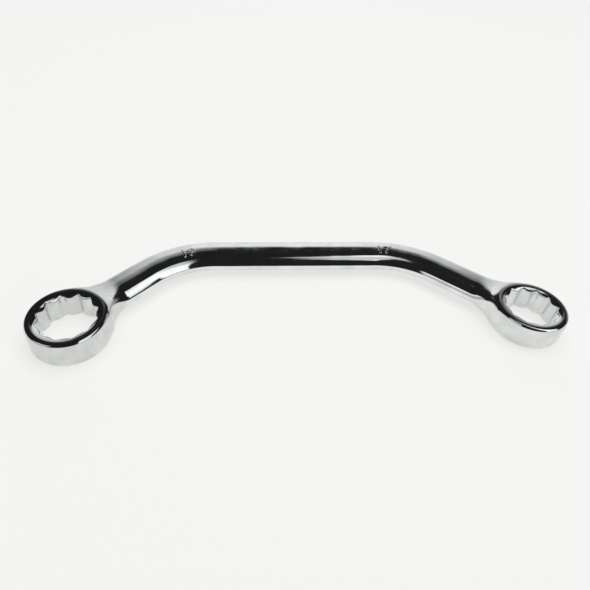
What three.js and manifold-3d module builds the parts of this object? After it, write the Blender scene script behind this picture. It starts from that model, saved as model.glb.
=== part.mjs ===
// Obstruction spanner: two twelve-point ring heads on a half-moon shank, forged in one plane and chrome plated.
// X runs along the tool from the large ring to the small one, Y from the rings towards the grip, Z is up.
import * as THREE from 'three';
import { mergeVertices } from 'three/addons/utils/BufferGeometryUtils.js';
import Module from 'manifold-3d';

const wasm = await Module();
wasm.setup();

// Driving dimensions, in millimetres and degrees
const ringCentreDistance = 172.6;
const socketClearance = 0.15;
const socketPoints = 12;
const rimRoundWidth = 1.4;
const rimRoundHeight = 3;
const rimLandWidth = 0.5;
const leadInRadius = 3.6;
const leadInAngle = 45;
const shankWidth = 14.4;
const shankHeight = 7.4;
const shankSquareness = 3;
const bendRadius = 38.5;
const neckFillet = 10;
const neckRise = 5;
const neckRootDrop = 0.9;
const largeHead = {
  acrossFlats: 19,
  wall: 3.75,
  height: 10.8,
  socketTurn: 6.8,
  armAngle: 43.8,
  armAside: 1.9,
  gripOffset: 38.1,
};
const smallHead = {
  acrossFlats: 17,
  wall: 3.4,
  height: 10.3,
  socketTurn: 9,
  armAngle: 42.5,
  armAside: 1.4,
  gripOffset: 36.5,
};

// Fineness of the faceted surfaces
const ringSegments = 60;
const roundSegments = 4;
const sectionSegments = 28;
const neckSteps = 5;
const bendSteps = 12;
const mergeTolerance = 1e-4;

const radians = THREE.MathUtils.degToRad;

const chrome = new THREE.MeshStandardMaterial({ color: 0xd4d6d7, roughness: 0.1, metalness: 1 });

// Closed solid of a geometry, without the flat triangles that a revolved pole leaves
function solidOf(geometry) {
  geometry.deleteAttribute('normal');
  geometry.deleteAttribute('uv');
  const merged = mergeVertices(geometry, mergeTolerance);
  const corners = merged.index.array;
  const triangles = [];
  for (let i = 0; i < corners.length; i += 3) {
    const [a, b, c] = corners.slice(i, i + 3);
    if (a !== b && b !== c && c !== a) {
      triangles.push(a, b, c);
    }
  }
  const mesh = new wasm.Mesh({
    numProp: 3,
    vertProperties: Float32Array.from(merged.attributes.position.array),
    triVerts: Uint32Array.from(triangles),
  });
  return new wasm.Manifold(mesh);
}

function geometryOf(solid) {
  const mesh = solid.getMesh();
  const geometry = new THREE.BufferGeometry();
  geometry.setAttribute('position', new THREE.BufferAttribute(mesh.vertProperties, 3));
  geometry.setIndex(new THREE.BufferAttribute(mesh.triVerts, 1));
  geometry.computeVertexNormals();
  return geometry;
}

// Radii of a head, worked out from its socket and its wall
function radiiOf(head) {
  const halfFlats = (head.acrossFlats + socketClearance) / 2;
  const socketCorner = halfFlats / Math.cos(Math.PI / 6);
  return {
    socketCorner,
    socketRidge: halfFlats / Math.cos(Math.PI / socketPoints),
    outer: socketCorner + head.wall,
  };
}

// Half of a head's profile, from its rim to its middle: rounded edge, narrow flat land, dished lead-in
function upperProfile(head) {
  const { outer, socketRidge } = radiiOf(head);
  const top = head.height / 2;
  const points = [];
  for (let i = 0; i <= roundSegments; i += 1) {
    const turn = (i / roundSegments) * (Math.PI / 2);
    const inset = rimRoundWidth * (1 - Math.cos(turn));
    points.push(new THREE.Vector2(outer - inset, top - rimRoundHeight * (1 - Math.sin(turn))));
  }
  const landEdge = outer - rimRoundWidth - rimLandWidth;
  const dishEnd = socketRidge - socketClearance;
  const reach = Math.min(1, (landEdge - dishEnd) / leadInRadius);
  const dishTurn = Math.min(radians(leadInAngle), Math.asin(reach));
  for (let i = 0; i <= roundSegments; i += 1) {
    const turn = (i / roundSegments) * dishTurn;
    const fall = leadInRadius * (1 - Math.cos(turn));
    points.push(new THREE.Vector2(landEdge - leadInRadius * Math.sin(turn), top - fall));
  }
  const last = points.at(-1);
  const floor = last.y - (last.x - dishEnd) * Math.tan(dishTurn);
  if (last.x - dishEnd > mergeTolerance) {
    points.push(new THREE.Vector2(dishEnd, floor));
  }
  points.push(new THREE.Vector2(0, floor));
  return points;
}

// Head without its socket, revolved about its own axis
function blankOf(head, centre) {
  const upper = upperProfile(head);
  const lower = upper.map((p) => new THREE.Vector2(p.x, -p.y)).reverse();
  const lathe = new THREE.LatheGeometry([...lower, ...upper], ringSegments);
  lathe.rotateX(Math.PI / 2);
  lathe.translate(centre.x, centre.y, 0);
  return solidOf(lathe);
}

// Twelve-point star through the head's full height
function socketOf(head, centre) {
  const { socketCorner, socketRidge } = radiiOf(head);
  const corners = [];
  for (let i = 0; i < 2 * socketPoints; i += 1) {
    const turn = radians(head.socketTurn) + (i * Math.PI) / socketPoints;
    const radius = i % 2 === 0 ? socketRidge : socketCorner;
    corners.push(new THREE.Vector2(radius * Math.cos(turn), radius * Math.sin(turn)));
  }
  const depth = 2 * head.height;
  const star = new THREE.ExtrudeGeometry(new THREE.Shape(corners), { depth, bevelEnabled: false });
  star.translate(centre.x, centre.y, -depth / 2);
  return solidOf(star);
}

// Evenly spaced values from a start, short of the end
function evenSteps(start, end, count) {
  return Array.from({ length: count }, (_, i) => start + ((end - start) * i) / count);
}

function along(heading) {
  return new THREE.Vector2(Math.cos(heading), Math.sin(heading));
}

function leftOf(heading) {
  return new THREE.Vector2(-Math.sin(heading), Math.cos(heading));
}

// One place on the shank's centreline: its point, its heading, and the section's size there
function station(point, heading, left = shankWidth / 2, right = shankWidth / 2, up = shankHeight / 2) {
  return { point, heading, left, right, up };
}

// Rounded-box section of a station, in space
function sectionOf({ point, heading, left, right, up }) {
  const aside = leftOf(heading);
  const ring = [];
  for (let i = 0; i < sectionSegments; i += 1) {
    const turn = (i / sectionSegments) * 2 * Math.PI;
    const across = Math.sign(Math.cos(turn)) * Math.abs(Math.cos(turn)) ** (2 / shankSquareness);
    const rise = Math.sign(Math.sin(turn)) * Math.abs(Math.sin(turn)) ** (2 / shankSquareness);
    const offset = across * (across > 0 ? left : right);
    ring.push(new THREE.Vector3(point.x + aside.x * offset, point.y + aside.y * offset, rise * up));
  }
  return ring;
}

// Closed skin over a row of stations, with a flat cap at each end
function shankGeometry(stations) {
  const positions = [];
  const triangles = [];
  for (const ring of stations.map(sectionOf)) {
    for (const corner of ring) {
      positions.push(corner.x, corner.y, corner.z);
    }
  }
  for (let row = 0; row + 1 < stations.length; row += 1) {
    for (let i = 0; i < sectionSegments; i += 1) {
      const next = (i + 1) % sectionSegments;
      const a = row * sectionSegments + i;
      const b = row * sectionSegments + next;
      triangles.push(a, b, a + sectionSegments, b, b + sectionSegments, a + sectionSegments);
    }
  }
  const lastRow = (stations.length - 1) * sectionSegments;
  const firstCentre = positions.length / 3;
  for (const end of [stations.at(0), stations.at(-1)]) {
    positions.push(end.point.x, end.point.y, 0);
  }
  for (let i = 0; i < sectionSegments; i += 1) {
    const next = (i + 1) % sectionSegments;
    triangles.push(firstCentre, next, i);
    triangles.push(firstCentre + 1, lastRow + i, lastRow + next);
  }
  const geometry = new THREE.BufferGeometry();
  geometry.setAttribute('position', new THREE.Float32BufferAttribute(positions, 3));
  geometry.setIndex(triangles);
  geometry.computeVertexNormals();
  return geometry;
}

// Where the hollow fillet between an arm's edge and the round wall begins, measured from the head's axis
function filletStart(edge, outer) {
  return Math.sqrt((outer + neckFillet) ** 2 - (edge + neckFillet) ** 2);
}

// Where that fillet runs into the round wall
function filletMeet(edge, outer) {
  return (filletStart(edge, outer) * outer) / (outer + neckFillet);
}

// Half-width of the neck along that fillet
function neckHalfWidth(distance, edge, outer) {
  const inside = Math.max(0, filletStart(edge, outer) - distance);
  return edge + neckFillet - Math.sqrt(neckFillet ** 2 - inside ** 2);
}

// Start of an arm's centreline, beside its ring's centre
function footOf(head, centre, heading, outward) {
  return centre.clone().addScaledVector(leftOf(heading), outward * head.armAside);
}

// Distance along the arm from its foot to the grip's centreline
function apexReachOf(head, foot, heading) {
  return (head.gripOffset - foot.y) / Math.sin(heading);
}

// Point where the arm's and the grip's centrelines would cross
function apexOf(head, centre, heading, outward) {
  const foot = footOf(head, centre, heading, outward);
  return foot.addScaledVector(along(heading), apexReachOf(head, foot, heading));
}

// Centreline of one end, from its ring to the grip
function armPlan(head, centre, heading, gripHeading, outward) {
  const foot = footOf(head, centre, heading, outward);
  const turn = Math.atan2(Math.sin(gripHeading - heading), Math.cos(gripHeading - heading));
  const bendReach = apexReachOf(head, foot, heading) - bendRadius * Math.tan(Math.abs(turn) / 2);
  const bendStart = foot.clone().addScaledVector(along(heading), bendReach);
  return { foot, heading, outward, turn, bendStart };
}

// Neck stations, from inside the ring's wall to the plain shank
function neckStations(head, { foot, heading, outward }) {
  const { outer, socketCorner } = radiiOf(head);
  const outerEdge = shankWidth / 2 + head.armAside;
  const innerEdge = shankWidth / 2 - head.armAside;
  const outerMeet = filletMeet(outerEdge, outer);
  const innerMeet = filletMeet(innerEdge, outer);
  const begin = Math.min(outerMeet, innerMeet, socketCorner);
  const riseEnd = outer + neckRise;
  const finish = Math.max(riseEnd, filletStart(outerEdge, outer), filletStart(innerEdge, outer));
  const rootRise = head.height / 2 - neckRootDrop - shankHeight / 2;
  const distances = [...evenSteps(begin, outer, neckSteps), ...evenSteps(outer, finish, neckSteps), finish];
  return distances.map((distance) => {
    const outerSide = neckHalfWidth(Math.max(distance, outerMeet), outerEdge, outer) - head.armAside;
    const innerSide = neckHalfWidth(Math.max(distance, innerMeet), innerEdge, outer) + head.armAside;
    const sides = outward > 0 ? [outerSide, innerSide] : [innerSide, outerSide];
    const rising = Math.max(0, (riseEnd - distance) / neckRise) ** 2;
    const sinking = Math.max(0, 1 - (outer - distance) / (rimRoundWidth + rimLandWidth));
    const up = shankHeight / 2 + rootRise * (distance < outer ? sinking : rising);
    return station(foot.clone().addScaledVector(along(heading), distance), heading, ...sides, up);
  });
}

// Arm stations, from the end of the neck round the bend to the grip
function armStations(neckEnd, { heading, turn, bendStart }) {
  const side = Math.sign(turn);
  const bendCentre = bendStart.clone().addScaledVector(leftOf(heading), side * bendRadius);
  const stations = [station(neckEnd.point, heading)];
  for (let i = 0; i <= bendSteps; i += 1) {
    const facing = heading + (turn * i) / bendSteps;
    stations.push(station(bendCentre.clone().addScaledVector(leftOf(facing), -side * bendRadius), facing));
  }
  return stations;
}

function headSolid(head, centre, neck) {
  const blank = blankOf(head, centre);
  return blank.add(solidOf(shankGeometry(neck))).subtract(socketOf(head, centre));
}

const largeCentre = new THREE.Vector2(-ringCentreDistance / 2, 0);
const smallCentre = new THREE.Vector2(ringCentreDistance / 2, 0);
const largeHeading = radians(largeHead.armAngle);
const smallHeading = Math.PI - radians(smallHead.armAngle);
const largeApex = apexOf(largeHead, largeCentre, largeHeading, 1);
const smallApex = apexOf(smallHead, smallCentre, smallHeading, -1);
const gripHeading = Math.atan2(smallApex.y - largeApex.y, smallApex.x - largeApex.x);

const largePlan = armPlan(largeHead, largeCentre, largeHeading, gripHeading, 1);
const smallPlan = armPlan(smallHead, smallCentre, smallHeading, gripHeading + Math.PI, -1);
const largeNeck = neckStations(largeHead, largePlan);
const smallNeck = neckStations(smallHead, smallPlan);
const largeArm = armStations(largeNeck.at(-1), largePlan);
const smallArm = armStations(smallNeck.at(-1), smallPlan);
const gripStart = largeArm.at(-1);
const gripEnd = station(smallArm.at(-1).point, gripHeading);

const spanner = new THREE.Group();

function addPart(name, geometry) {
  const mesh = new THREE.Mesh(geometry, chrome.clone());
  mesh.name = name;
  spanner.add(mesh);
}

addPart('large_ring_head', geometryOf(headSolid(largeHead, largeCentre, largeNeck)));
addPart('large_arm', shankGeometry(largeArm));
addPart('grip_bar', shankGeometry([gripStart, gripEnd]));
addPart('small_arm', shankGeometry(smallArm));
addPart('small_ring_head', geometryOf(headSolid(smallHead, smallCentre, smallNeck)));

// The origin is under the middle of the tool, on the surface that it lies on
const box = new THREE.Box3().setFromObject(spanner);
const middle = box.getCenter(new THREE.Vector3());
spanner.position.set(-middle.x, -middle.y, -box.min.z);

export default spanner;
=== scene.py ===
# Chrome skin of an obstruction spanner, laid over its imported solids, in a plain pale studio.
# Shapes are worked out in millimetres, with Z 0 at mid-height, and placed in the frame in metres.
import math

import bmesh
import bpy
import numpy as np
from mathutils import Matrix, Vector


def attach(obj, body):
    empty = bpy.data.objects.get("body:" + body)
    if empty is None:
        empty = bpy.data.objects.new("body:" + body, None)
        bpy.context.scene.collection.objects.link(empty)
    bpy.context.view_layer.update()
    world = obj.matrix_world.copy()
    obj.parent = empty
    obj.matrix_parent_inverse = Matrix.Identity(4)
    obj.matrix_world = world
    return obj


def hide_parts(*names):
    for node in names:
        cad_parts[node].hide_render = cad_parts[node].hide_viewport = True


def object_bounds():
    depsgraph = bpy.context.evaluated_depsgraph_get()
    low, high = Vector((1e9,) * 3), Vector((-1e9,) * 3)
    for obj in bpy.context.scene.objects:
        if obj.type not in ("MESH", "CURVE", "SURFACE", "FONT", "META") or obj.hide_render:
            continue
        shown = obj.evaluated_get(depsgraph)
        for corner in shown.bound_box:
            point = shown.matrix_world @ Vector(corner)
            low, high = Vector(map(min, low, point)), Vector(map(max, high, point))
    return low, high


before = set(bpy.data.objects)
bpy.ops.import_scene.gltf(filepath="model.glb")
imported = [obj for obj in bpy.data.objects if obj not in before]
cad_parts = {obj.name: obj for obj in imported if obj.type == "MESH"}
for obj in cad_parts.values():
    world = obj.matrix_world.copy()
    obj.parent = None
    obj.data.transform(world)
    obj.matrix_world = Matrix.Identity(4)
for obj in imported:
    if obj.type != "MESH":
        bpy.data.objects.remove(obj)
cad_low, cad_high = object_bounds()

MM = 0.001
TINY = 1e-6
TINY_LENGTH = 1e-12

# Rings, in millimetres. A power above 2 squares up a rounded shape.
RING_CENTRE_DISTANCE = 172.6
RIM_ROUND_WIDTH = 1.4
RIM_ROUND_HEIGHT = 3.0
RIM_LAND_WIDTH = 0.5
RIM_POWER = 2.7

# Sockets, in millimetres, radians and degrees: two hexagons give each one twelve points
SOCKET_POINTS = 12
FLAT_TURN = math.pi / SOCKET_POINTS
HEXAGON_CORNER_TURN = math.pi / 6
SOCKET_CLEARANCE = 0.15
SOCKET_CORNER_DROP = 0.12
SOCKET_LOBE_POWER = 1.6
SOCKET_EDGE_ROUND = 0.45
LEAD_IN_RADIUS = 4.6
UPPER_LEAD_IN_ANGLE = 45.0
LOWER_LEAD_IN_ANGLE = 11.0

# Shank, in millimetres and degrees. Its outer side is the long way round the two bends.
SHANK_WIDTH = 14.4
SHANK_HEIGHT = 7.4
SHANK_INNER_SWELL = 0.6
SKIN_INSET = 0.004
CROWN_POWER = 3.0
OUTER_EDGE_POWER = 3.0
INNER_EDGE_POWER = 1.8
SECTION_CORNERS = (135, 45, -45, -135, -225)
BEND_RADIUS = 38.5

# Necks, in millimetres, where the arms climb to the rings
NECK_FILLET = 10.0
NECK_ARC_RADIUS = 30.0
NECK_ROOT_REACH = 0.3
NECK_ROOT_DROP = 0.05
NECK_START_SHARE = 1 / 3
NECK_CROWN_POWER = 16.0
NECK_EDGE_POWER = 4.5
NECK_BLEND = 2.4
NECK_BLEND_LEAST = 0.001
NECK_BLEND_POWER = 12

# Raised size numbers, in millimetres and degrees
MARK_HEIGHT = 5.0
MARK_TYPE_SIZE = 1.4 * MARK_HEIGHT
MARK_RAISE = 0.36
MARK_ROOT = 0.2
MARK_EDGE = 0.18
MARK_EDGE_STEPS = 2
MARK_CELL = 0.4
MARK_MERGE_DISTANCE = 1e-4
MARK_SHARP_ANGLE = 40.0
MARK_ASIDE = -0.3
LARGE_MARK_FACING = 15.8
SMALL_MARK_FACING = 8.2

# Fineness of the skin, with steps in millimetres. The opening is where the neck leaves the ring's wall.
FLATS = 2 * SOCKET_POINTS
FLAT_SHARES = (0.0, 0.05, 0.14, 0.3, 0.5, 0.7, 0.86, 0.95)
OPENING_COLUMNS = 32
OPENING_ROWS = 16
LAND_ROWS = 2
RIM_ROWS = 10
DISH_ROWS = 12
SOCKET_EDGE_ROWS = 4
SOCKET_WALL_ROWS = 6
NECK_ROWS = 14
SECTION_SAMPLES = 400
SWEEP_STEP = 1.2
RELAX_ROUNDS = 30
PROJECT_ROUNDS = 5
GRADIENT_STEP = 0.005


def along(heading):
    return np.array([math.cos(heading), math.sin(heading)])


def left_of(heading):
    return np.array([-math.sin(heading), math.cos(heading)])


def unit(rows):
    """Rows of vectors, each at length 1."""
    return rows / np.maximum(np.linalg.norm(rows, axis=1), TINY_LENGTH)[:, None]


def smooth_min(a, b, width):
    """Smaller of two values, rounded over where they are closer than width."""
    overlap = np.maximum(width - np.abs(a - b), 0.0) / width
    return np.minimum(a, b) - overlap**2 * width / 4


def quadratic(share, start, middle, end):
    """A point of a quadratic Bezier curve."""
    return (1 - share) ** 2 * start + 2 * share * (1 - share) * middle + share**2 * end


class Head:
    """A ring head, in a plan frame where its arm runs up and to the right. Side -1 mirrors that frame."""

    def __init__(self, side, across_flats, wall, height, socket_turn, arm_angle, arm_aside, grip_offset):
        self.side = side
        self.half_flats = (across_flats + SOCKET_CLEARANCE) / 2
        self.corner = self.half_flats / math.cos(HEXAGON_CORNER_TURN)
        self.outer = self.corner + wall
        self.land_outer = self.outer - RIM_ROUND_WIDTH
        self.land_inner = self.land_outer - RIM_LAND_WIDTH
        self.top = height / 2
        self.socket_turn = math.radians(side * socket_turn)
        self.centre = np.array([-RING_CENTRE_DISTANCE / 2, 0.0])
        self.lay_out_arm(math.radians(arm_angle), arm_aside, grip_offset)
        self.lay_out_neck()

    def lay_out_arm(self, heading, aside, grip_offset):
        """The arm's centreline, from its foot beside the ring's axis to where it would meet the grip's."""
        self.heading = heading
        self.aside = aside
        self.foot = self.centre + aside * left_of(heading)
        self.apex_reach = (grip_offset - self.foot[1]) / math.sin(heading)
        self.apex = self.foot + self.apex_reach * along(heading)

    def lay_out_neck(self):
        """The arm's two edges, seen from the ring's axis, and the arc in which the neck climbs."""
        self.outer_edge = SHANK_WIDTH / 2 + self.aside
        self.inner_edge = SHANK_WIDTH / 2 - self.aside
        climb = self.top - NECK_ROOT_DROP - SHANK_HEIGHT / 2
        self.arc_reach = math.sqrt(NECK_ARC_RADIUS**2 - (NECK_ARC_RADIUS - climb) ** 2)
        self.arc_start = self.land_outer + NECK_ROOT_REACH + self.arc_reach
        fillet_starts = [self.fillet_start(edge) for edge in (self.outer_edge, self.inner_edge)]
        self.neck_start = self.outer * NECK_START_SHARE
        self.neck_end = max(self.arc_start, *fillet_starts)

    def fillet_start(self, edge):
        """Where the neck's plan fillet leaves the arm's straight edge, from the ring's axis."""
        return math.sqrt((self.outer + NECK_FILLET) ** 2 - (edge + NECK_FILLET) ** 2)

    def fillet_meet(self, edge):
        """Where that fillet runs into the round wall."""
        return self.fillet_start(edge) * self.outer / (self.outer + NECK_FILLET)

    def half_width(self, distance, edge):
        """Half-width of the neck along the fillet."""
        clipped = np.maximum(distance, self.fillet_meet(edge))
        inside = np.maximum(self.fillet_start(edge) - clipped, 0.0)
        return edge + NECK_FILLET - np.sqrt(NECK_FILLET**2 - inside**2)

    def half_height(self, radius):
        """Half-height of the neck, which climbs to the ring's crest in an arc that follows the ring."""
        inside = np.clip(self.arc_start - radius, 0.0, self.arc_reach)
        return SHANK_HEIGHT / 2 + NECK_ARC_RADIUS - np.sqrt(NECK_ARC_RADIUS**2 - inside**2)

    def neck_share(self, radius):
        """How far the section has squared up at a radius: 0 at the plain arm, 1 at the ring's crest."""
        share = np.clip((self.arc_start - radius) / self.arc_reach, 0.0, 1.0)
        return share**2

    def to_plan(self, local):
        """Points of the arm's own frame (along the arm, left of it, up) in the plan frame."""
        flat = np.outer(local[:, 0], along(self.heading)) + np.outer(local[:, 1], left_of(self.heading))
        return np.column_stack([flat, local[:, 2]])


# The two heads, in millimetres and degrees
large = Head(
    side=1,
    across_flats=19.0,
    wall=3.75,
    height=10.8,
    socket_turn=6.8,
    arm_angle=43.8,
    arm_aside=1.9,
    grip_offset=38.1,
)
small = Head(
    side=-1,
    across_flats=17.0,
    wall=3.4,
    height=10.3,
    socket_turn=9.0,
    arm_angle=42.5,
    arm_aside=1.4,
    grip_offset=36.5,
)
GRIP_HEADING = math.atan2(small.apex[1] - large.apex[1], -small.apex[0] - large.apex[0])

# The plan frame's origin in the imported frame, in millimetres
ORIGIN = np.array([
    cad_low.x / MM + large.outer + RING_CENTRE_DISTANCE / 2,
    cad_low.y / MM + large.outer,
    cad_low.z / MM + large.top,
])


def place(points, side):
    """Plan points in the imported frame, in metres."""
    return (points * [side, 1, 1] + ORIGIN) * MM


# Surfaces of the ring and the neck


def ring_distance(radius, z, head):
    """Distance from the round wall with its rounded rims, to first order."""
    out = np.maximum((radius - head.land_outer) / RIM_ROUND_WIDTH, 0.0)
    up = np.maximum((np.abs(z) - head.top + RIM_ROUND_HEIGHT) / RIM_ROUND_HEIGHT, 0.0)
    rounded = np.maximum((out**RIM_POWER + up**RIM_POWER) ** (1 / RIM_POWER), TINY)
    lean = (out / rounded) ** (RIM_POWER - 1) / RIM_ROUND_WIDTH
    rise = (up / rounded) ** (RIM_POWER - 1) / RIM_ROUND_HEIGHT
    return (rounded - 1) / np.maximum(np.hypot(lean, rise), TINY)


def shank_distance(local, head):
    """Distance from the flared end of the arm, which starts inside the ring, to first order."""
    distance, aside, z = local.T
    radius = np.hypot(distance, aside)
    offset = aside - head.aside
    outer_side = head.half_width(distance, head.outer_edge) - head.aside
    inner_side = head.half_width(distance, head.inner_edge) + head.aside + SHANK_INNER_SWELL
    half = np.where(offset > 0, outer_side - SKIN_INSET, inner_side)
    share = head.neck_share(radius)
    plain_edge = np.where(offset > 0, OUTER_EDGE_POWER, INNER_EDGE_POWER)
    edge = plain_edge + (NECK_EDGE_POWER - plain_edge) * share
    crown = CROWN_POWER + (NECK_CROWN_POWER - CROWN_POWER) * share
    up = head.half_height(radius)
    x = np.maximum(np.abs(offset) / half, TINY)
    y = np.maximum(np.abs(z) / up, TINY)
    level = (x**crown + y**edge) ** (1 / crown)
    lean = x ** (crown - 1) / half
    rise = edge / crown * y ** (edge - 1) / up
    slope = level ** (1 - crown) * np.hypot(lean, rise)
    return np.maximum((level - 1) / slope, head.neck_start - distance)


def skin_distance(local, head):
    """Distance from the ring and the arm. A soft fillet joins them and dies out at the rim's land."""
    ring = ring_distance(np.hypot(local[:, 0], local[:, 1]), local[:, 2], head)
    shank = shank_distance(local, head)
    share = np.minimum(np.abs(local[:, 2]) / head.top, 1.0)
    width = NECK_BLEND * (1 - share**NECK_BLEND_POWER) + NECK_BLEND_LEAST
    return smooth_min(ring, shank, width)


def skin_gradient(local, head):
    steps = GRADIENT_STEP * np.eye(3)
    sides = [skin_distance(local + s, head) - skin_distance(local - s, head) for s in steps]
    return np.column_stack(sides) / (2 * GRADIENT_STEP)


def project_to_skin(local, head, rounds):
    for _ in range(rounds):
        slope = skin_gradient(local, head)
        size = np.maximum((slope**2).sum(1), TINY)
        local = local - slope * (skin_distance(local, head) / size)[:, None]
    return local


# Section of the shank


def section_reach(aside):
    """Half-width of the section on the side that a value's sign tells: the inner side swells a little."""
    return SHANK_WIDTH / 2 + np.where(aside < 0, SHANK_INNER_SWELL, -SKIN_INSET)


def section_edge(aside):
    """Power of the section's edge on the side that a value's sign tells."""
    return np.where(aside < 0, INNER_EDGE_POWER, OUTER_EDGE_POWER)


def section_loop():
    """The section, evenly stepped: along its top from the inner side to the outer one, then round."""
    loop = []
    corners = [math.radians(corner) for corner in SECTION_CORNERS]
    counts = [OPENING_COLUMNS, OPENING_ROWS, OPENING_COLUMNS, OPENING_ROWS]
    for start, end, count in zip(corners, corners[1:], counts):
        turn = np.linspace(start, end, SECTION_SAMPLES)
        cos, sin = np.cos(turn), np.sin(turn)
        x = np.sign(cos) * section_reach(cos) * np.abs(cos) ** (2 / CROWN_POWER)
        z = np.sign(sin) * SHANK_HEIGHT / 2 * np.abs(sin) ** (2 / section_edge(cos))
        length = np.concatenate([[0], np.cumsum(np.hypot(np.diff(x), np.diff(z)))])
        even = np.linspace(0, length[-1], count + 1)[:-1]
        loop.append(np.column_stack([np.interp(even, length, x), np.interp(even, length, z)]))
    return np.concatenate(loop)


SECTION = section_loop()
LOOP_SIZE = len(SECTION)


def section_slopes(aside, z):
    """Outward slopes of the section, to the left and up."""
    reach = section_reach(aside)
    edge = section_edge(aside)
    up = SHANK_HEIGHT / 2
    lean = CROWN_POWER * np.sign(aside) * np.abs(aside / reach) ** (CROWN_POWER - 1) / reach
    rise = edge * np.sign(z) * np.abs(z / up) ** (edge - 1) / up
    return unit(np.column_stack([lean, rise]))


def section_top(aside):
    """Height of the section's upper side."""
    share = np.abs(aside / section_reach(aside)) ** CROWN_POWER
    return SHANK_HEIGHT / 2 * (1 - share) ** (1 / section_edge(aside))


def loop_faces(near, far):
    """Quads between two loops of vertex numbers."""
    faces = []
    for k in range(LOOP_SIZE):
        following = (k + 1) % LOOP_SIZE
        faces.append((near[following], near[k], far[k], far[following]))
    return faces


def tube_faces(rows, first=0):
    """Quads along a row of section loops."""
    faces = []
    for row in range(rows - 1):
        start = first + row * LOOP_SIZE
        near = range(start, start + LOOP_SIZE)
        far = range(start + LOOP_SIZE, start + 2 * LOOP_SIZE)
        faces += loop_faces(near, far)
    return faces


# Ring head with its neck


def star_radius(turn, head):
    """Radius of the twelve-point socket, worn and plated to round lobes between narrow corners."""
    ridge = head.half_flats / math.cos(FLAT_TURN)
    corner = head.corner - SOCKET_CORNER_DROP
    wave = (1 - np.cos(SOCKET_POINTS * (turn - head.socket_turn))) / 2
    return ridge + (corner - ridge) * wave**SOCKET_LOBE_POWER


def dish_height(radius, head, angle):
    """Height of a lead-in above mid-height: it curves down from the rim, then goes on straight."""
    steepest = math.radians(angle)
    inset = np.maximum(head.land_inner - radius, 0.0)
    curved = np.minimum(inset, LEAD_IN_RADIUS * math.sin(steepest))
    fall = LEAD_IN_RADIUS - np.sqrt(LEAD_IN_RADIUS**2 - curved**2)
    return head.top - fall - (inset - curved) * math.tan(steepest)


def socket_rows(turn, head, angle):
    """Rows of radius and height for each column: down a lead-in and the socket's wall to mid-height."""
    star = star_radius(turn + head.heading, head)
    edge = star + SOCKET_EDGE_ROUND
    rows = []
    for share in np.linspace(0, 1, DISH_ROWS + 1):
        radius = head.land_inner + (edge - head.land_inner) * share
        rows.append((radius, dish_height(radius, head, angle)))
    edge_z = dish_height(edge, head, angle)
    corner_z = dish_height(star, head, angle)
    wall_z = corner_z - SOCKET_EDGE_ROUND
    for share in np.linspace(0, 1, SOCKET_EDGE_ROWS + 1)[1:]:
        radius = quadratic(share, edge, star, star)
        rows.append((radius, quadratic(share, edge_z, corner_z, wall_z)))
    for share in np.linspace(0, 1, SOCKET_WALL_ROWS + 1)[1:]:
        rows.append((star, wall_z * (1 - share)))
    return rows


def outer_rows(head):
    """Rows of radius and height of the rim and wall, from the upper land down to mid-height."""
    rows = [(head.land_inner, head.top)]
    for share in np.linspace(0, 1, RIM_ROWS + 1):
        turn = share * math.pi / 2
        out = math.sin(turn) ** (2 / RIM_POWER)
        up = max(math.cos(turn), 0.0) ** (2 / RIM_POWER)
        rows.append((head.land_outer + RIM_ROUND_WIDTH * out, head.top - RIM_ROUND_HEIGHT * (1 - up)))
    wall = head.top - RIM_ROUND_HEIGHT
    for share in np.linspace(0, 1, OPENING_ROWS // 2 + 1)[1:]:
        rows.append((head.outer, wall * (1 - share)))
    return rows


def column_turns(head):
    """Column angles in the arm's own frame, from the right-hand edge of the neck's opening."""
    flats = np.add.outer(np.arange(FLATS), FLAT_SHARES).ravel()
    turns = head.socket_turn + flats * FLAT_TURN - head.heading
    towards_arm = math.asin(head.aside / head.outer)
    apart = np.abs((turns - towards_arm + math.pi) % (2 * math.pi) - math.pi)
    return np.roll(turns, OPENING_COLUMNS // 2 - int(apart.argmin()))


def ring_grid(head):
    """Points of the ring, row by row round its profile, its opening's top row and its count of outer rows.

    The rows start at the upper land and go down outside and back up through the socket.
    """
    turns = column_turns(head)
    upper = [(np.full_like(turns, r), np.full_like(turns, z)) for r, z in outer_rows(head)]
    upper_inner = socket_rows(turns, head, UPPER_LEAD_IN_ANGLE)
    lower = [(r, -z) for r, z in upper[-2::-1]]
    lower_inner = [(r, -z) for r, z in socket_rows(turns, head, LOWER_LEAD_IN_ANGLE)[1:]]
    rows = upper + lower + lower_inner + upper_inner[-2:0:-1]
    points = [np.column_stack([r * np.cos(turns), r * np.sin(turns), z]) for r, z in rows]
    opening_top = len(upper) - 1 - OPENING_ROWS // 2
    return np.array(points), opening_top, len(upper) + len(lower)


def opening_loop(columns, top):
    """Vertex numbers round the neck's opening, in the order of the section loop."""
    bottom = top + OPENING_ROWS
    last = OPENING_COLUMNS
    loop = [top * columns + j for j in range(last)]
    loop += [i * columns + last for i in range(top, bottom)]
    loop += [bottom * columns + j for j in range(last, 0, -1)]
    loop += [i * columns for i in range(bottom, top, -1)]
    return loop


def ring_faces(rows, columns, opening_top):
    """Quads of the ring, without those in the neck's opening."""
    faces = []
    for i in range(rows):
        here = i * columns
        below = (i + 1) % rows * columns
        beside_neck = opening_top <= i < opening_top + OPENING_ROWS
        for j in range(OPENING_COLUMNS if beside_neck else 0, columns):
            right = (j + 1) % columns
            faces.append((here + j, below + j, below + right, here + right))
    return faces


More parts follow.
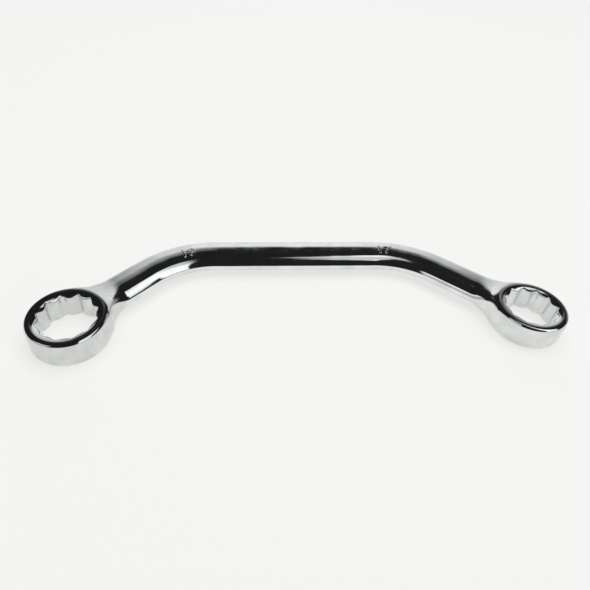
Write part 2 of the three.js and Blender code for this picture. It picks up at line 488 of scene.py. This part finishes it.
def neck_rows(loop_points, head):
    """Loops from the opening out to the plain arm."""
    end = np.column_stack([
        np.full(LOOP_SIZE, head.neck_end),
        head.aside + SECTION[:, 0],
        SECTION[:, 1],
    ])
    shares = np.linspace(0, 1, NECK_ROWS + 1)[1:]
    return np.concatenate([loop_points + (end - loop_points) * share for share in shares])


def relax(points, faces, free, head):
    """Evens out the free points over the skin."""
    quads = np.array(faces)
    pairs = np.concatenate([quads[:, [k, (k + 1) % 4]] for k in range(4)])
    here, neighbour = pairs.T
    counts = np.maximum(np.bincount(here, minlength=len(points)), 1)
    for _ in range(RELAX_ROUNDS):
        sums = [np.bincount(here, points[neighbour, axis], len(points)) for axis in range(3)]
        means = np.column_stack(sums) / counts[:, None]
        points[free] = (points[free] + means[free]) / 2
        points[free] = project_to_skin(points[free], head, 1)
    points[free] = project_to_skin(points[free], head, PROJECT_ROUNDS)


def vertex_normals(points, faces):
    quads = np.array(faces)
    across = points[quads[:, 2]] - points[quads[:, 0]]
    down = points[quads[:, 3]] - points[quads[:, 1]]
    facing = np.cross(across, down)
    normals = np.zeros_like(points)
    for k in range(4):
        np.add.at(normals, quads[:, k], facing)
    return unit(normals)


def head_skin(head):
    """Points, normals, faces and end cap of a ring head with its neck, in the plan frame."""
    grid, opening_top, outer_count = ring_grid(head)
    rows, columns, _ = grid.shape
    ring = grid.reshape(-1, 3)
    loop = opening_loop(columns, opening_top)
    points = np.concatenate([ring, neck_rows(ring[loop], head)])
    first_loop = range(len(ring), len(ring) + LOOP_SIZE)
    last_loop = range(len(points) - LOOP_SIZE, len(points))
    faces = ring_faces(rows, columns, opening_top)
    faces += loop_faces(loop, first_loop)
    faces += tube_faces(NECK_ROWS, len(ring))

    on_skin = np.zeros(len(points), bool)
    on_skin[LAND_ROWS * columns : (outer_count - LAND_ROWS) * columns] = True
    on_skin[len(ring) :] = True
    free = on_skin & (points[:, 0] > 0)
    free[last_loop] = False
    relax(points, faces, free, head)

    normals = vertex_normals(points, faces)
    normals[on_skin] = unit(skin_gradient(points[on_skin], head))
    centre = np.array([*head.centre, 0.0])
    return head.to_plan(points) + centre, head.to_plan(normals), faces, [list(reversed(last_loop))]


# Arms and grip


def sweep_skin(stations):
    """Points, normals, faces and caps of the plain section swept over centreline stations."""
    points = []
    normals = []
    slopes = section_slopes(*SECTION.T)
    for point, heading in stations:
        aside = left_of(heading)
        points.append(np.column_stack([point + np.outer(SECTION[:, 0], aside), SECTION[:, 1]]))
        normals.append(np.column_stack([np.outer(slopes[:, 0], aside), slopes[:, 1]]))
    last = (len(stations) - 1) * LOOP_SIZE
    caps = [list(range(LOOP_SIZE)), list(range(last + LOOP_SIZE - 1, last - 1, -1))]
    return np.concatenate(points), np.concatenate(normals), tube_faces(len(stations)), caps


def straight_stations(start, end, heading):
    count = max(2, math.ceil(np.linalg.norm(end - start) / SWEEP_STEP) + 1)
    return [(start + (end - start) * share, heading) for share in np.linspace(0, 1, count)]


def bend(head):
    """How far the arm turns into the grip, where its bend starts, and the centre of the bend."""
    turn = head.side * GRIP_HEADING - head.heading
    reach = head.apex_reach - BEND_RADIUS * math.tan(abs(turn) / 2)
    start = head.foot + reach * along(head.heading)
    return turn, start, start - BEND_RADIUS * left_of(head.heading)


def arm_stations(head):
    """Centreline from the end of the neck round the bend to the grip."""
    turn, bend_start, bend_centre = bend(head)
    start = head.foot + head.neck_end * along(head.heading)
    stations = straight_stations(start, bend_start, head.heading)
    count = math.ceil(BEND_RADIUS * abs(turn) / SWEEP_STEP)
    for share in np.linspace(0, 1, count + 1)[1:]:
        facing = head.heading + turn * share
        stations.append((bend_centre + BEND_RADIUS * left_of(facing), facing))
    return stations


# Chrome


class Nodes:
    """Short ways to add shader nodes to one tree."""

    def __init__(self, tree):
        self.tree = tree

    def add(self, kind, **values):
        """A node with its properties set, or its inputs where no property has that name."""
        node = self.tree.nodes.new(kind)
        for name, value in values.items():
            if hasattr(node, name):
                setattr(node, name, value)
            else:
                node.inputs[name.replace("_", " ").title()].default_value = value
        return node

    def feed(self, socket, value):
        """Links an output to an input, or sets the input where the value is plain."""
        if isinstance(value, bpy.types.NodeSocket):
            self.tree.links.new(value, socket)
        else:
            socket.default_value = value

    def math(self, operation, first, second=0.0):
        node = self.add("ShaderNodeMath", operation=operation)
        self.feed(node.inputs[0], first)
        self.feed(node.inputs[1], second)
        return node.outputs["Value"]

    def plus(self, first, second):
        return self.math("ADD", first, second)

    def minus(self, first, second):
        return self.math("SUBTRACT", first, second)

    def times(self, first, *others):
        for other in others:
            first = self.math("MULTIPLY", first, other)
        return first

    def least(self, first, second):
        return self.math("MINIMUM", first, second)

    def most(self, first, *others):
        for other in others:
            first = self.math("MAXIMUM", first, other)
        return first

    def dot(self, vector, direction):
        node = self.add("ShaderNodeVectorMath", operation="DOT_PRODUCT")
        self.feed(node.inputs[0], vector)
        self.feed(node.inputs[1], direction)
        return node.outputs["Value"]

    def axes(self, vector):
        """X, Y and Z of a vector."""
        node = self.add("ShaderNodeSeparateXYZ")
        self.feed(node.inputs["Vector"], vector)
        return [node.outputs[axis] for axis in "XYZ"]

    def noise(self, where, scale, detail, roughness):
        node = self.add("ShaderNodeTexNoise", scale=scale, detail=detail, roughness=roughness)
        self.feed(node.inputs["Vector"], where)
        return node.outputs["Fac"]

    def remap(self, value, from_min, from_max, to_min, to_max):
        """A value's place in one range, carried over to another and held inside it."""
        node = self.add("ShaderNodeMapRange", from_min=from_min, from_max=from_max)
        self.feed(node.inputs["Value"], value)
        self.feed(node.inputs["To Min"], to_min)
        self.feed(node.inputs["To Max"], to_max)
        return node.outputs["Result"]

    def fade(self, value, start, end):
        """0 at start and 1 at end, softly."""
        node = self.add("ShaderNodeMapRange", interpolation_type="SMOOTHSTEP")
        self.feed(node.inputs["Value"], value)
        self.feed(node.inputs["From Min"], min(start, end))
        self.feed(node.inputs["From Max"], max(start, end))
        rising = node.outputs["Result"]
        return rising if end > start else self.minus(1.0, rising)

    def band(self, value, low, high, soft):
        """1 between low and high, softly 0 outside."""
        rising = self.fade(value, low - soft, low + soft)
        falling = self.fade(value, high + soft, high - soft)
        return self.times(rising, falling)

    def mix(self, first, second, share, blend="MIX"):
        """A colour with a share of a second one mixed in."""
        node = self.add("ShaderNodeMix", data_type="RGBA", blend_type=blend)
        self.feed(node.inputs["A"], first)
        self.feed(node.inputs["B"], second)
        self.feed(node.inputs["Factor"], share)
        return node.outputs["Result"]


# Look of the chrome, in metres: a noise is its scale, detail and roughness
CLOUD_NOISE = (130.0, 4.0, 0.6)
CLOUD_RANGE = (0.32, 0.64)
CLOUD_COLOURS = ((0.71, 0.725, 0.72, 1), (0.85, 0.86, 0.85, 1))
DULL_COLOUR = (0.83, 0.83, 0.83, 1)
LARGE_HEAD_END = (-0.072, -0.064)
SMALL_HEAD_END = (0.064, 0.072)
SMALL_HEAD_DULLNESS = 0.5
SMUDGE_NOISE = (120.0, 3.0, 0.6)
SMUDGE_RANGE = (0.36, 0.64)
SMUDGE_SHARES = (0.5, 1.4)
HAZE_NOISE = (260.0, 4.0, 0.65)
HAZE_RANGE = (0.4, 0.75)
HAZE_ROUGHNESS = (0.05, 0.12)
WAVE_NOISE = (75.0, 1.5, 0.4)
WAVE_STRENGTH = 0.5
WAVE_DEPTH = 0.00022
PIT_SCALE = 330.0
PIT_EDGE = (0.06, 0.16)
PIT_CHOICE = (0.955, 0.965)
PIT_STRENGTH = 0.6
PIT_DEPTH = 0.00008
DIRT_COLOUR = (0.2, 0.2, 0.2, 1)


def chrome_pits(nodes, where):
    """1 in a pit and 0 elsewhere. The pits are the middles of a few cells, chosen by the cells' red."""
    cells = nodes.add("ShaderNodeTexVoronoi", scale=PIT_SCALE)
    nodes.feed(cells.inputs["Vector"], where)
    parts = nodes.add("ShaderNodeSeparateColor")
    nodes.feed(parts.inputs["Color"], cells.outputs["Color"])
    middle = nodes.remap(cells.outputs["Distance"], *PIT_EDGE, 1.0, 0.0)
    chosen = nodes.remap(parts.outputs["Red"], *PIT_CHOICE, 0.0, 1.0)
    return nodes.times(middle, chosen)


def chrome_dullness(nodes, where):
    """Share of duller polish: smudges on the ring heads, more of it on the large one."""
    x = nodes.axes(where)[0]
    on_large = nodes.remap(x, *LARGE_HEAD_END, 1.0, 0.0)
    on_small = nodes.remap(x, *SMALL_HEAD_END, 0.0, SMALL_HEAD_DULLNESS)
    smudges = nodes.remap(nodes.noise(where, *SMUDGE_NOISE), *SMUDGE_RANGE, *SMUDGE_SHARES)
    return nodes.times(nodes.plus(on_large, on_small), smudges)


def chrome_colour(nodes, where, pits):
    """Cloudy tone, duller on the ring heads, with dirt in the pits."""
    clouds = nodes.add("ShaderNodeValToRGB")
    for stop, position, colour in zip(clouds.color_ramp.elements, CLOUD_RANGE, CLOUD_COLOURS):
        stop.position = position
        stop.color = colour
    nodes.feed(clouds.inputs["Fac"], nodes.noise(where, *CLOUD_NOISE))
    polish = nodes.mix(clouds.outputs["Color"], DULL_COLOUR, chrome_dullness(nodes, where), "MULTIPLY")
    return nodes.mix(polish, DIRT_COLOUR, pits)


def chrome_bumps(nodes, where, pits):
    """Slight waves left by polishing, and the pits."""
    waves = nodes.add("ShaderNodeBump", strength=WAVE_STRENGTH, distance=WAVE_DEPTH)
    nodes.feed(waves.inputs["Height"], nodes.noise(where, *WAVE_NOISE))
    holes = nodes.add("ShaderNodeBump", strength=PIT_STRENGTH, distance=PIT_DEPTH, invert=True)
    nodes.feed(holes.inputs["Height"], pits)
    nodes.feed(holes.inputs["Normal"], waves.outputs["Normal"])
    return holes.outputs["Normal"]


def chrome_material():
    """Bright chrome over polished forged steel, with a faint haze."""
    material = bpy.data.materials.new("chrome_plate")
    material.use_nodes = True
    nodes = Nodes(material.node_tree)
    shader = material.node_tree.nodes["Principled BSDF"]
    shader.inputs["Metallic"].default_value = 1.0
    where = nodes.add("ShaderNodeTexCoord").outputs["Object"]
    pits = chrome_pits(nodes, where)
    haze = nodes.remap(nodes.noise(where, *HAZE_NOISE), *HAZE_RANGE, *HAZE_ROUGHNESS)
    nodes.feed(shader.inputs["Base Color"], chrome_colour(nodes, where, pits))
    nodes.feed(shader.inputs["Roughness"], haze)
    nodes.feed(shader.inputs["Normal"], chrome_bumps(nodes, where, pits))
    return material


CHROME = chrome_material()


# Pieces of the spanner


def add_object(name, data):
    """A mesh, curve, light or camera as an object of the scene."""
    added = bpy.data.objects.new(name, data)
    bpy.context.scene.collection.objects.link(added)
    return added


def skin_mesh(name, skin, side):
    """A closed mesh with the skin's own normals, and flat caps."""
    points, normals, faces, caps = skin
    all_faces = [list(face) for face in [*faces, *caps]]
    if side < 0:
        all_faces = [face[::-1] for face in all_faces]
    used = np.unique(np.concatenate(all_faces))
    renumber = np.zeros(len(points), int)
    renumber[used] = np.arange(len(used))
    all_faces = [renumber[face].tolist() for face in all_faces]
    mesh = bpy.data.meshes.new(name)
    mesh.from_pydata(place(points[used], side).tolist(), [], all_faces)
    mesh.polygons.foreach_set("use_smooth", [True] * len(all_faces))
    turned = normals[used] * [side, 1, 1]
    corners = []
    for face in all_faces[: len(faces)]:
        corners.extend(turned[face].tolist())
    for cap in mesh.polygons[len(faces) :]:
        corners.extend([cap.normal] * cap.loop_total)
    mesh.normals_split_custom_set(corners)
    mesh.materials.append(CHROME)
    return mesh


def make_piece(name, skin, side, node):
    """A skin that rides on the part's one body in place of a solid."""
    piece = add_object(name, skin_mesh(name, skin, side))
    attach(piece, "root")
    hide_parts(node)


large_arm = arm_stations(large)
small_arm = arm_stations(small)
grip = straight_stations(large_arm[-1][0], small_arm[-1][0] * [-1, 1], GRIP_HEADING)
make_piece("large_ring_head_skin", head_skin(large), large.side, "large_ring_head")
make_piece("large_arm_skin", sweep_skin(large_arm), large.side, "large_arm")
make_piece("grip_bar_skin", sweep_skin(grip), large.side, "grip_bar")
make_piece("small_arm_skin", sweep_skin(small_arm), small.side, "small_arm")
make_piece("small_ring_head_skin", head_skin(small), small.side, "small_ring_head")


# Raised size numbers


def digits_mesh(digits):
    """Raised digits as a mesh, in millimetres."""
    curve = bpy.data.curves.new("digits", "FONT")
    curve.body = digits
    curve.size = MARK_TYPE_SIZE
    curve.extrude = (MARK_RAISE + MARK_ROOT) / 2 - MARK_EDGE
    curve.bevel_depth = MARK_EDGE
    curve.bevel_resolution = MARK_EDGE_STEPS
    curve.align_x = "CENTER"
    curve.align_y = "CENTER"
    letters = add_object("digits", curve)
    bpy.context.view_layer.update()
    depsgraph = bpy.context.evaluated_depsgraph_get()
    mesh = bpy.data.meshes.new_from_object(letters.evaluated_get(depsgraph))
    bpy.data.objects.remove(letters)
    bpy.data.curves.remove(curve)
    return mesh


def cut_into_cells(mesh):
    """Cuts digits across both ways, so that they can bend."""
    cells = bmesh.new()
    cells.from_mesh(mesh)
    bmesh.ops.remove_doubles(cells, verts=cells.verts, dist=MARK_MERGE_DISTANCE)
    for axis in (Vector((1, 0, 0)), Vector((0, 1, 0))):
        for step in np.arange(-MARK_HEIGHT, MARK_HEIGHT, MARK_CELL):
            everything = [*cells.verts, *cells.edges, *cells.faces]
            bmesh.ops.bisect_plane(cells, geom=everything, plane_co=axis * step, plane_no=axis)
    cells.to_mesh(mesh)
    cells.free()


def centred(points):
    """Points of digits round their middle, scaled in plan to the height of the marks."""
    low_point, high_point = points.min(0), points.max(0)
    scale = MARK_HEIGHT / (high_point[1] - low_point[1])
    return (points - (low_point + high_point) / 2) * [scale, scale, 1]


def on_bend(local, head, facing):
    """Points of a mark's own frame laid on the bend, upright to someone who stands on the open side."""
    bend_centre = bend(head)[2]
    turns = math.radians(facing) - head.side * local[:, 0] / BEND_RADIUS
    aside = local[:, 1] + MARK_ASIDE
    top = section_top(aside)
    lean, rise = section_slopes(aside, top).T
    lift = local[:, 2] + (MARK_RAISE - MARK_ROOT) / 2
    reach = BEND_RADIUS + aside + lift * lean
    return np.column_stack([
        bend_centre[0] - reach * np.sin(turns),
        bend_centre[1] + reach * np.cos(turns),
        top + lift * rise,
    ])


def make_mark(name, digits, head, facing):
    """Raised digits on the top of a bend."""
    mesh = digits_mesh(digits)
    cut_into_cells(mesh)
    local = centred(np.array([vertex.co for vertex in mesh.vertices]))
    points = place(on_bend(local, head, facing), head.side)
    mesh.vertices.foreach_set("co", points.ravel())
    mesh.update()
    mesh.polygons.foreach_set("use_smooth", [True] * len(mesh.polygons))
    mesh.set_sharp_from_angle(angle=math.radians(MARK_SHARP_ANGLE))
    mesh.materials.clear()
    mesh.materials.append(CHROME)
    mark = add_object(name, mesh)
    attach(mark, "root")


make_mark("size_mark_19", "19", large, LARGE_MARK_FACING)
make_mark("size_mark_17", "17", small, SMALL_MARK_FACING)


# Floor and lamp, in metres, watts and shares of white

FLOOR_SIZE = 3.0
FLOOR_COLOUR = (0.9, 0.905, 0.89, 1)
FLOOR_ROUGHNESS = 0.9
FLOOR_EVEN_SHARE = 0.75
LAMP_PLACE = (0.1, 0.15, 1.2)
LAMP_SIZE = 1.6
LAMP_POWER = 16.0


def floor_material():
    """Pale paint. Part of what the camera and the chrome see of it is even, so its shadow stays faint."""
    material = bpy.data.materials.new("floor_white")
    material.use_nodes = True
    tree = material.node_tree
    nodes = Nodes(tree)
    lit = tree.nodes["Principled BSDF"]
    lit.inputs["Base Color"].default_value = FLOOR_COLOUR
    lit.inputs["Roughness"].default_value = FLOOR_ROUGHNESS
    lit.inputs["Specular IOR Level"].default_value = 0.0
    even = nodes.add("ShaderNodeEmission")
    even.inputs["Color"].default_value = FLOOR_COLOUR
    rays = nodes.add("ShaderNodeLightPath").outputs
    seen = nodes.most(rays["Is Camera Ray"], rays["Is Glossy Ray"], rays["Is Transmission Ray"])
    mix = nodes.add("ShaderNodeMixShader")
    nodes.feed(mix.inputs["Fac"], nodes.times(seen, FLOOR_EVEN_SHARE))
    nodes.feed(mix.inputs[1], lit.outputs["BSDF"])
    nodes.feed(mix.inputs[2], even.outputs["Emission"])
    nodes.feed(tree.nodes["Material Output"].inputs["Surface"], mix.outputs["Shader"])
    return material


def make_floor():
    """A pale sheet under the spanner."""
    mesh = bpy.data.meshes.new("floor")
    corners = [(x * FLOOR_SIZE, y * FLOOR_SIZE, 0) for x, y in ((-1, -1), (1, -1), (1, 1), (-1, 1))]
    mesh.from_pydata(corners, [], [(0, 1, 2, 3)])
    mesh.materials.append(floor_material())
    floor = add_object("floor", mesh)


def make_lamp():
    """A broad soft lamp overhead for the floor. It is left out of the chrome's reflections."""
    light = bpy.data.lights.new("overhead", "AREA")
    light.shape = "DISK"
    light.size = LAMP_SIZE
    light.energy = LAMP_POWER
    lamp = add_object("overhead", light)
    lamp.location = LAMP_PLACE
    lamp.visible_glossy = False


make_floor()
make_lamp()


# Room that the chrome mirrors: bearings and heights in degrees, light in shares of white

ROOM_COLOUR = (0.975, 0.99, 1.0, 1)
ROOM_DARK = 0.016
LOW_WALL_FADE = (7, 2)
LOW_WALL_LIGHT = 0.7

# Wall behind: its top edge lies level over the dip and climbs from there to both ends
WALL_SPAN = (-22.5, 42)
WALL_END_BLUR = 3
WALL_TOP = 35.5
WALL_TOP_MOST = 41.5
WALL_DIP = (12.0, 22.0)
WALL_LEFT_CLIMB = 0.0078
WALL_RIGHT_CLIMB = 0.015
WALL_TOP_BLUR = 2.0
WALL_LEFT_BLUR = 0.1
WALL_LIGHT = 0.86
WALL_MIDDLE = 8.0
WALL_HALF_SPAN = 30
WALL_MIDDLE_GAIN = 0.004
WALL_END_LOSS = 0.021

# Dimmer stretches beside that wall, right and left
RIGHT_STRETCH_SPAN = (38, 66)
RIGHT_STRETCH_BLUR = 5
RIGHT_STRETCH_FADE = (36, 26)
RIGHT_STRETCH_LIGHT = 0.4
LEFT_STRETCH_SPAN = (-36, -18)
LEFT_STRETCH_BLUR = 3
LEFT_STRETCH_FADE = (22, 16)
LEFT_STRETCH_LIGHT = 0.6

# Right window: two edges, given by the normals of planes through the spanner, and a foot cut on a slant
FRONT_EDGE_PLANE = (0.847, 0.515, -0.127)
FRONT_EDGE_FADE = (-0.08, -0.02)
LOWER_EDGE_PLANE = (-0.517, -0.71, 0.479)
LOWER_EDGE_FADE = (-0.03, 0.02)
FOOT_SLANT = 0.35
FOOT_FADE = (118, 122)
FOOT_TOP_FADE = (36, 43)
RIGHT_WINDOW_HEIGHTS = (9, 80)
RIGHT_WINDOW_BLUR = 3
RIGHT_WINDOW_START = (30, 37)
RIGHT_WINDOW_LIGHT = 0.66
RIGHT_WINDOW_LOW_GAIN = 0.6
RIGHT_WINDOW_LOW_FADE = (74, 62)

# Left window, with a dimmer wall under it
LEFT_WINDOW_SPAN = (-138, -98)
LEFT_WINDOW_END_BLUR = 4
LEFT_WINDOW_HEIGHTS = (31, 46)
LEFT_WINDOW_BLUR = 3
LEFT_SILL_FADE = (34, 28)
LEFT_SILL_LIGHT = 0.5


def bearing_and_height(nodes, where):
    """Degrees to the right of straight behind the spanner, and degrees above the horizon."""
    x, y, z = nodes.axes(where)
    degrees = math.degrees(1)
    bearing = nodes.times(nodes.math("ARCTAN2", x, y), degrees)
    height = nodes.times(nodes.math("ARCSINE", z), degrees)
    return bearing, height


def wall_behind(nodes, bearing, height):
    """A pale wall. It gets a little lighter upwards in its middle, and darker at its ends."""
    left_of_dip = nodes.least(nodes.minus(bearing, WALL_DIP[0]), 0.0)
    right_of_dip = nodes.most(nodes.minus(bearing, WALL_DIP[1]), 0.0)
    left_climb = nodes.times(left_of_dip, left_of_dip, WALL_LEFT_CLIMB)
    right_climb = nodes.times(right_of_dip, right_of_dip, WALL_RIGHT_CLIMB)
    top = nodes.least(nodes.plus(nodes.plus(left_climb, right_climb), WALL_TOP), WALL_TOP_MOST)
    blur = nodes.minus(WALL_TOP_BLUR, nodes.times(left_of_dip, WALL_LEFT_BLUR))
    under_top = nodes.math("DIVIDE", nodes.minus(top, height), blur)
    shape = nodes.times(nodes.band(bearing, *WALL_SPAN, WALL_END_BLUR), nodes.fade(under_top, -1.0, 1.0))
    off_middle = nodes.times(nodes.minus(bearing, WALL_MIDDLE), 1 / WALL_HALF_SPAN)
    ends = nodes.least(nodes.times(off_middle, off_middle), 1.0)
    gain = nodes.minus(WALL_MIDDLE_GAIN, nodes.times(ends, WALL_END_LOSS))
    return nodes.times(shape, nodes.plus(WALL_LIGHT, nodes.times(height, gain)))


def stretches_beside(nodes, bearing, height):
    """Dimmer stretches of wall to the right and left of the wall behind."""
    right_span = nodes.band(bearing, *RIGHT_STRETCH_SPAN, RIGHT_STRETCH_BLUR)
    right = nodes.times(right_span, nodes.fade(height, *RIGHT_STRETCH_FADE), RIGHT_STRETCH_LIGHT)
    left_span = nodes.band(bearing, *LEFT_STRETCH_SPAN, LEFT_STRETCH_BLUR)
    left = nodes.times(left_span, nodes.fade(height, *LEFT_STRETCH_FADE), LEFT_STRETCH_LIGHT)
    return nodes.most(right, left)


def right_window(nodes, where, bearing, height):
    """A large slanted window, brighter in its lower part."""
    front_edge = nodes.fade(nodes.dot(where, FRONT_EDGE_PLANE), *FRONT_EDGE_FADE)
    lower_edge = nodes.fade(nodes.dot(where, LOWER_EDGE_PLANE), *LOWER_EDGE_FADE)
    slant = nodes.plus(bearing, nodes.times(height, FOOT_SLANT))
    foot = nodes.most(nodes.fade(slant, *FOOT_FADE), nodes.fade(height, *FOOT_TOP_FADE))
    heights = nodes.band(height, *RIGHT_WINDOW_HEIGHTS, RIGHT_WINDOW_BLUR)
    start = nodes.fade(bearing, *RIGHT_WINDOW_START)
    gain = nodes.times(nodes.fade(height, *RIGHT_WINDOW_LOW_FADE), RIGHT_WINDOW_LOW_GAIN)
    light = nodes.plus(RIGHT_WINDOW_LIGHT, gain)
    return nodes.times(front_edge, lower_edge, foot, heights, start, light)


def left_window(nodes, bearing, height):
    """A low window, with a dimmer wall under it."""
    span = nodes.band(bearing, *LEFT_WINDOW_SPAN, LEFT_WINDOW_END_BLUR)
    pane = nodes.band(height, *LEFT_WINDOW_HEIGHTS, LEFT_WINDOW_BLUR)
    sill = nodes.times(nodes.fade(height, *LEFT_SILL_FADE), LEFT_SILL_LIGHT)
    return nodes.times(span, nodes.most(pane, sill))


def make_world():
    """A dark room: a low pale wall all round, a taller one behind, and a window on either side."""
    world = bpy.data.worlds.new("studio")
    bpy.context.scene.world = world
    world.use_nodes = True
    nodes = Nodes(world.node_tree)
    where = nodes.add("ShaderNodeTexCoord").outputs["Generated"]
    bearing, height = bearing_and_height(nodes, where)
    light = nodes.most(
        nodes.times(nodes.fade(height, *LOW_WALL_FADE), LOW_WALL_LIGHT),
        wall_behind(nodes, bearing, height),
        stretches_beside(nodes, bearing, height),
        right_window(nodes, where, bearing, height),
        left_window(nodes, bearing, height),
    )
    background = world.node_tree.nodes["Background"]
    background.inputs["Color"].default_value = ROOM_COLOUR
    nodes.feed(background.inputs["Strength"], nodes.plus(light, ROOM_DARK))


make_world()


# Camera at the photograph's place: millimetres from the plan frame's origin, degrees and pixels

CAMERA_PLACE = (-30.61, -127.74, 138.83)
CAMERA_YAW = -5.45
CAMERA_PITCH = 41.21
CAMERA_ROLL = -2.68
LEVEL_TURN = 90
IMAGE_SIZE = 590
FOCAL_PIXELS = 506.44
CENTRE_PIXEL = (259.11, 267.44)
SENSOR_WIDTH = 36.0
NEAR_LIMIT = 0.01


def make_camera():
    data = bpy.data.cameras.new("camera")
    data.sensor_width = SENSOR_WIDTH
    data.lens = FOCAL_PIXELS / IMAGE_SIZE * SENSOR_WIDTH
    data.shift_x = (IMAGE_SIZE / 2 - CENTRE_PIXEL[0]) / IMAGE_SIZE
    data.shift_y = (CENTRE_PIXEL[1] - IMAGE_SIZE / 2) / IMAGE_SIZE
    data.clip_start = NEAR_LIMIT
    matrix = Matrix.Translation(Vector((np.array(CAMERA_PLACE) + ORIGIN) * MM))
    turns = ((CAMERA_YAW, "Z"), (-CAMERA_PITCH, "X"), (CAMERA_ROLL, "Y"), (LEVEL_TURN, "X"))
    for angle, axis in turns:
        matrix = matrix @ Matrix.Rotation(math.radians(angle), 4, axis)
    camera = add_object("camera", data)
    camera.matrix_world = matrix
    bpy.context.scene.camera = camera


make_camera()
bpy.context.scene.view_settings.view_transform = "Standard"
